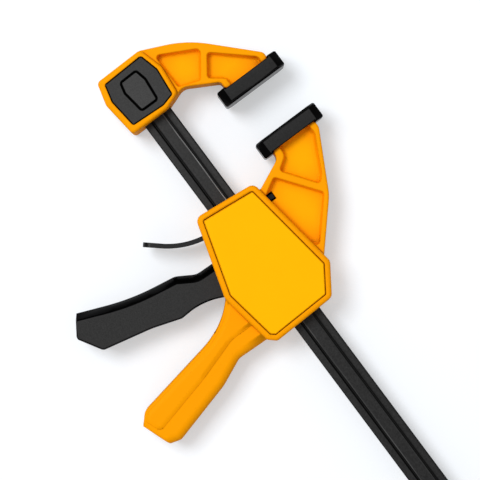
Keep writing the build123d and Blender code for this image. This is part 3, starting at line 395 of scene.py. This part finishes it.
def bar_steel():
    """Cold-drawn steel bar, black oxide under a satin lacquer.

    Die lines run along it and pits speckle it. Its level faces carry a painted sheen,
    painted shade blackens the grooves and darkens the upper edge, and a pale line runs
    on a lip of each groove. The pits are drawn coarser than real ones, to show.
    """
    made, tree, out = new_material("bar_steel_black_oxide")
    coord = add(tree, "TexCoord")
    place = coord.outputs["Object"]
    level = level_faces(tree, coord, 0.9, 0.97)
    axes = add(tree, "SeparateXYZ", [], [(0, place)])
    stretch = add(tree, "Mapping", [("Scale", DIE_STRETCH)], [("Vector", place)])
    lines = add(tree, "TexNoise", [("Scale", 1 / (DIE_LINE * MM)), ("Detail", 2.0)],
                [("Vector", stretch.outputs[0])])
    pits = add(tree, "TexNoise", [("Scale", 1 / (PIT * MM)), ("Detail", 3.0),
                                  ("Roughness", 0.75)], [("Vector", place)])
    speck = add(tree, "MapRange", [("From Min", 0.35), ("From Max", 0.7),
                                   ("To Min", 0.4), ("To Max", 1.9)],
                [("Value", pits.outputs["Fac"])])
    tint = add(tree, "Mix", [COLOURS, DARKEN, (0, 1.0), (6, linear("#1A1A1A"))],
               [(7, speck.outputs[0])])
    # Painted sheen: the level faces keep the grey, steeper faces turn black
    tint = add(tree, "Mix", [COLOURS, (6, linear("#030303"))],
               [(0, level.outputs[0]), (7, tint.outputs[2])])

    # Painted shade: the grooves are painted black and the upper edge darker
    upper_edge = BAR_Y + BAR_HALF
    depth = add(tree, "Math", [SIZE], [(0, axes.outputs["Z"])])
    out_of_groove = add(tree, "MapRange", [("From Min", (FLAT_Z - GROOVE_DARK) * MM),
                                           ("From Max", (FLAT_Z - GROOVE_CLEAR) * MM)],
                        [("Value", depth.outputs[0])])
    off_edge = add(tree, "MapRange", [("From Min", (upper_edge - EDGE_DARK) * MM),
                                      ("From Max", (upper_edge - EDGE_CLEAR) * MM),
                                      ("To Min", 0.3)], [("Value", axes.outputs["Y"])])
    clear = add(tree, "Math", [TIMES], [(0, out_of_groove.outputs[0]), (1, off_edge.outputs[0])])
    tint = add(tree, "Mix", [COLOURS, (6, linear("#020202"))],
               [(0, clear.outputs[0]), (7, tint.outputs[2])])

    # Pale lines on a lip of each groove, broken up by the die lines. The upper groove's is
    # bright ahead of the sliding jaw, and the lower groove's is fainter, behind it
    die_line_breaks = add(tree, "MapRange", [("From Min", 0.35), ("From Max", 0.65)],
                 [("Value", lines.outputs["Fac"])])
    for side, ahead, behind in LIP_LINE:
        lip_y = BAR_Y + side * (GROOVE_Y - GROOVE_LIP)
        off = add(tree, "Math", [MINUS, (1, lip_y * MM)], [(0, axes.outputs["Y"])])
        off = add(tree, "Math", [SIZE], [(0, off.outputs[0])])
        lip = add(tree, "MapRange", [("From Min", LIP_OUT * MM), ("From Max", LIP_IN * MM)],
                  [("Value", off.outputs[0])])
        share = add(tree, "MapRange",
                    [("From Min", LINE_SWAP_FROM_X * MM), ("From Max", LINE_SWAP_TO_X * MM),
                     ("To Min", ahead), ("To Max", behind)], [("Value", axes.outputs["X"])])
        pale_line = add(tree, "Math", [TIMES], [(0, lip.outputs[0]), (1, share.outputs[0])])
        pale_line = add(tree, "Math", [TIMES], [(0, pale_line.outputs[0]), (1, die_line_breaks.outputs[0])])
        tint = add(tree, "Mix", [COLOURS, (7, linear("#A8A8A8"))],
                   [(0, pale_line.outputs[0]), (6, tint.outputs[2])])

    matt = add(tree, "MapRange", [("To Min", 0.4), ("To Max", 0.52)],
               [("Value", lines.outputs["Fac"])])
    relief = add(tree, "Bump", [("Strength", 0.15), ("Distance", PIT_DEEP * MM)],
                 [("Height", pits.outputs["Fac"])])
    shader = add(tree, "BsdfPrincipled", [("Specular IOR Level", 0.22), ("IOR", PLASTIC_IOR)],
                 [("Base Color", tint.outputs[2]), ("Roughness", matt.outputs[0]),
                  ("Normal", relief.outputs[0])])
    tree.links.new(shader.outputs[0], out.inputs["Surface"])
    return made


def lever_steel():
    """Stamped sheet steel, black oxide: even and dark, blacker over the last few mm of the tip.
    """
    made, tree, out = new_material("lever_steel_black_oxide")
    place = add(tree, "TexCoord").outputs["Object"]
    axes = add(tree, "SeparateXYZ", [], [(0, place)])
    tip_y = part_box("brake_lever")[0].y
    tip_darker = add(tree, "MapRange", [("From Min", tip_y + TIP_DARK_FROM * MM),
                                    ("From Max", tip_y + TIP_DARK_FULL * MM)],
                 [("Value", axes.outputs["Y"])])
    grain = add(tree, "TexNoise", [("Scale", 1 / (SHEET_GRAIN * MM)), ("Detail", 3.0)],
                [("Vector", place)])
    tint = add(tree, "Mix", [COLOURS, (6, linear("#060606")), (7, linear("#0E0E0E"))],
               [(0, grain.outputs["Fac"])])
    tint = add(tree, "Mix", [COLOURS, (7, linear("#030303"))],
               [(0, tip_darker.outputs[0]), (6, tint.outputs[2])])
    matt = add(tree, "MapRange", [("To Min", 0.3), ("To Max", 0.42)],
               [("Value", grain.outputs["Fac"])])
    relief = add(tree, "Bump", [("Strength", 0.1), ("Distance", SHEET_DEEP * MM)],
                 [("Height", grain.outputs["Fac"])])
    shader = add(tree, "BsdfPrincipled", [("Specular IOR Level", 0.2), ("IOR", PLASTIC_IOR)],
                 [("Base Color", tint.outputs[2]), ("Roughness", matt.outputs[0]),
                  ("Normal", relief.outputs[0])])
    tree.links.new(shader.outputs[0], out.inputs["Surface"])
    return made


def bare_steel(name, colour, roughness, line_mm, along):
    """Bare steel: a dull shine, with grinding or drawing lines along the axis scaled down."""
    made, tree, out = new_material(name)
    place = add(tree, "TexCoord").outputs["Object"]
    stretch = add(tree, "Mapping", [("Scale", along)], [("Vector", place)])
    lines = add(tree, "TexNoise", [("Scale", 1 / (line_mm * MM)), ("Detail", 3.0)],
                [("Vector", stretch.outputs[0])])
    tint = add(tree, "Mix", [COLOURS, DARKEN, (0, 0.35), (6, linear(colour))],
               [(7, lines.outputs["Fac"])])
    matt = add(tree, "MapRange", [("To Min", roughness - 0.08), ("To Max", roughness + 0.08)],
               [("Value", lines.outputs["Fac"])])
    relief = add(tree, "Bump", [("Strength", 0.12), ("Distance", LINE_DEEP * MM)],
                 [("Height", lines.outputs["Fac"])])
    shader = add(tree, "BsdfPrincipled", [("Metallic", 1.0)],
                 [("Base Color", tint.outputs[2]), ("Roughness", matt.outputs[0]),
                  ("Normal", relief.outputs[0])])
    tree.links.new(shader.outputs[0], out.inputs["Surface"])
    return made


def dress(material, *nodes):
    """Gives CAD nodes a material."""
    for name in nodes:
        slots = NODES[name].data.materials
        slots.clear()
        slots.append(material)


# ---------------------------------------------------------------------------- pieces
def pick(piece):
    """Makes a piece the active one and the only one selected."""
    bpy.ops.object.select_all(action="DESELECT")
    bpy.context.view_layer.objects.active = piece
    piece.select_set(True)


def edit(piece):
    """Picks a piece and opens its mesh."""
    pick(piece)
    bpy.ops.object.mode_set(mode="EDIT")


def select_faces(piece, wanted):
    """Selects the faces whose centre and normal pass a test, in edit mode."""
    bpy.ops.mesh.select_all(action="DESELECT")
    bpy.ops.object.mode_set(mode="OBJECT")
    for face in piece.data.polygons:
        face.select = wanted(face.center, face.normal)
    bpy.ops.object.mode_set(mode="EDIT")


def smooth(piece):
    """Leaves edit mode and shades curves round, with flats kept flat beside them."""
    bpy.ops.object.mode_set(mode="OBJECT")
    bpy.ops.object.shade_smooth_by_angle(angle=math.radians(SMOOTH_ANGLE))
    bpy.ops.object.modifier_add(type="WEIGHTED_NORMAL")
    piece.modifiers[-1].keep_sharp = True
    piece.modifiers[-1].weight = BIG_FACES_LEAD
    bpy.ops.object.modifier_apply(modifier=piece.modifiers[-1].name)


def moulding(name, node, body, material, rim=0.0, drop=0.0):
    """Welded copy of a CAD node with smooth curves, which stands for the node.

    A rim, in mm, gives its top a soft edge that wide, which falls off by drop.
    """
    piece = bpy.data.objects.new(name, NODES[node].data.copy())
    bpy.context.scene.collection.objects.link(piece)
    edit(piece)
    bpy.ops.mesh.select_all(action="SELECT")
    bpy.ops.mesh.remove_doubles(threshold=WELD * MM)
    bpy.ops.mesh.dissolve_limited(angle_limit=math.radians(FLAT_ANGLE))
    if rim:
        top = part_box(node)[1].z - WELD * MM
        bpy.ops.mesh.select_mode(type="FACE")
        select_faces(piece, lambda centre, normal: normal.z > TOP_LEVEL and centre.z > top)
        bpy.ops.transform.translate(value=(0, 0, -drop * MM))
        bpy.ops.mesh.inset(thickness=rim * MM)
        bpy.ops.transform.translate(value=(0, 0, drop * MM))
    smooth(piece)
    piece.data.materials.clear()
    piece.data.materials.append(material)
    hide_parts(node)
    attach(piece, body)
    return piece


def coil(name, node, body, material):
    """Wire spring: a welded copy of its CAD node, with a mesh of its own."""
    piece = moulding(name, node, body, material)
    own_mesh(piece)


def cut_cross(screw, x, y):
    """Cross recess in a screw's head."""
    for turn in CROSS_TURNS:
        bpy.ops.mesh.primitive_cube_add(
            size=1.0, location=(x * MM, y * MM, COVER_BACK_Z * MM),
            rotation=(0, 0, math.radians(turn)),
            scale=(CROSS_LONG * MM, CROSS_WIDE * MM, 2 * CROSS_DEEP * MM))
        cutter = bpy.context.object
        pick(screw)
        bpy.ops.object.modifier_add(type="BOOLEAN")
        screw.modifiers[-1].operation = "DIFFERENCE"
        screw.modifiers[-1].object = cutter
        bpy.ops.object.modifier_apply(modifier=screw.modifiers[-1].name)
        bpy.data.objects.remove(cutter, do_unlink=True)


def cover_screws(material):
    """Pan-head screws with a cross recess, let into the back cover."""
    head_mid = (COVER_BACK_Z + SCREW_HEAD_THICK / 2) * MM
    for number, (x, y) in enumerate(SCREW_PLACES, 1):
        bpy.ops.object.select_all(action="DESELECT")
        bpy.ops.mesh.primitive_cylinder_add(
            vertices=SCREW_SIDES, radius=SCREW_HEAD_R * MM, depth=SCREW_HEAD_THICK * MM,
            location=(x * MM, y * MM, head_mid))
        screw = bpy.context.object
        screw.name = f"cover_screw_{number}"
        edit(screw)
        bpy.ops.mesh.select_mode(type="FACE")
        select_faces(screw, lambda centre, normal: normal.z > END_LEVEL)
        bpy.ops.mesh.inset(thickness=(SCREW_HEAD_R - SCREW_SHANK_R) * MM)
        bpy.ops.mesh.extrude_region_move(
            TRANSFORM_OT_translate={"value": (0, 0, SCREW_SHANK_LONG * MM)})
        bpy.ops.mesh.bevel(offset=SCREW_TIP * MM, segments=1)
        select_faces(screw, lambda centre, normal: normal.z < -END_LEVEL)
        bpy.ops.mesh.bevel(offset=SCREW_RIM * MM, segments=SCREW_RIM_STEPS)
        bpy.ops.object.mode_set(mode="OBJECT")
        bpy.ops.object.transform_apply(location=True, rotation=True, scale=True)
        cut_cross(screw, x, y)
        edit(screw)
        smooth(screw)
        screw.data.materials.append(material)
        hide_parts("cover_screws")
        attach(screw, "moving_jaw")


make_camera()
make_studio()

# Moulded grain is drawn 0.6 to 0.9 mm wide and the lines on bare steel 0.3 to 0.5 mm,
# because real ones are too fine to show
jaw_orange = orange_nylon("jaw_nylon_moulded", flat="#FDA100", cloud="#FA9D00",
                          pocket_light="#FFB000", wall_shade="#FC9F00", grain_mm=0.7)
cover_orange = orange_nylon("cover_nylon_moulded", flat="#FFBB00", cloud="#FFB600",
                            pocket_light="#FFBB00", wall_shade="#E83000", grain_mm=0.6)
trigger_black = black_moulded("trigger_nylon_moulded", flat="#333333", edge="#020202",
                              grain_mm=0.8, bump=0.3, gloss=0.02)
panel_black = black_moulded("panel_abs_moulded", flat="#3A3A3A", edge="#050505",
                            grain_mm=0.7, bump=0.25, gloss=0.05)
button_black = black_moulded("button_abs_moulded", flat="#404040", edge="#050505",
                             grain_mm=0.7, bump=0.25, gloss=0.05)
pad_black = black_moulded("pad_rubber_moulded", flat="#282828", edge="#020202",
                          grain_mm=0.9, bump=0.3, gloss=0.05)
ground = bare_steel("pin_steel_ground", "#8A8A8C", roughness=0.35, line_mm=0.3,
                    along=(1.0, 1.0, 0.1))
wire = bare_steel("spring_wire_drawn", "#6E6E70", roughness=0.35, line_mm=0.3,
                  along=(1.0, 1.0, 1.0))
stamped = bare_steel("plate_steel_stamped", "#66666A", roughness=0.42, line_mm=0.5,
                     along=(1.0, 0.1, 1.0))
zinc = bare_steel("screw_steel_zinc_plated", "#8E9094", roughness=0.3, line_mm=0.4,
                  along=(1.0, 1.0, 1.0))

moulding("jaw_body_moulding", "jaw_body", "moving_jaw", jaw_orange)
moulding("fixed_jaw_moulding", "fixed_jaw", "root", jaw_orange)
moulding("cover_front_moulding", "cover_front", "moving_jaw", cover_orange,
         rim=0.45, drop=0.65)
moulding("cover_back_moulding", "cover_back", "moving_jaw", cover_orange)
moulding("trigger_moulding", "trigger", "trigger", trigger_black,
         rim=1.0, drop=0.7)
moulding("head_panel_front_moulding", "head_panel_front", "root", panel_black,
         rim=0.45, drop=0.18)
moulding("head_panel_back_moulding", "head_panel_back", "root", panel_black)
moulding("release_button_moulding", "release_button", "jaw_lock",
         button_black, rim=0.3, drop=0.12)
moulding("fixed_jaw_pad_moulding", "fixed_jaw_pad", "root", pad_black,
         rim=0.7, drop=0.5)
moulding("moving_jaw_pad_moulding", "moving_jaw_pad", "moving_jaw", pad_black,
         rim=0.7, drop=0.5)
moulding("drawn_bar", "bar", "root", bar_steel())
moulding("stamped_lever", "brake_lever", "brake", lever_steel())
cover_screws(zinc)
coil("drive_spring_coil", "drive_spring", "moving_jaw", wire)
coil("brake_spring_coil", "brake_spring", "moving_jaw", wire)
coil("button_spring_coil", "button_spring", "root", wire)

dress(ground, "bar_stop_pin", "trigger_pin", "lock_pin")
dress(stamped, "drive_plate_1", "drive_plate_2", "drive_plate_3")
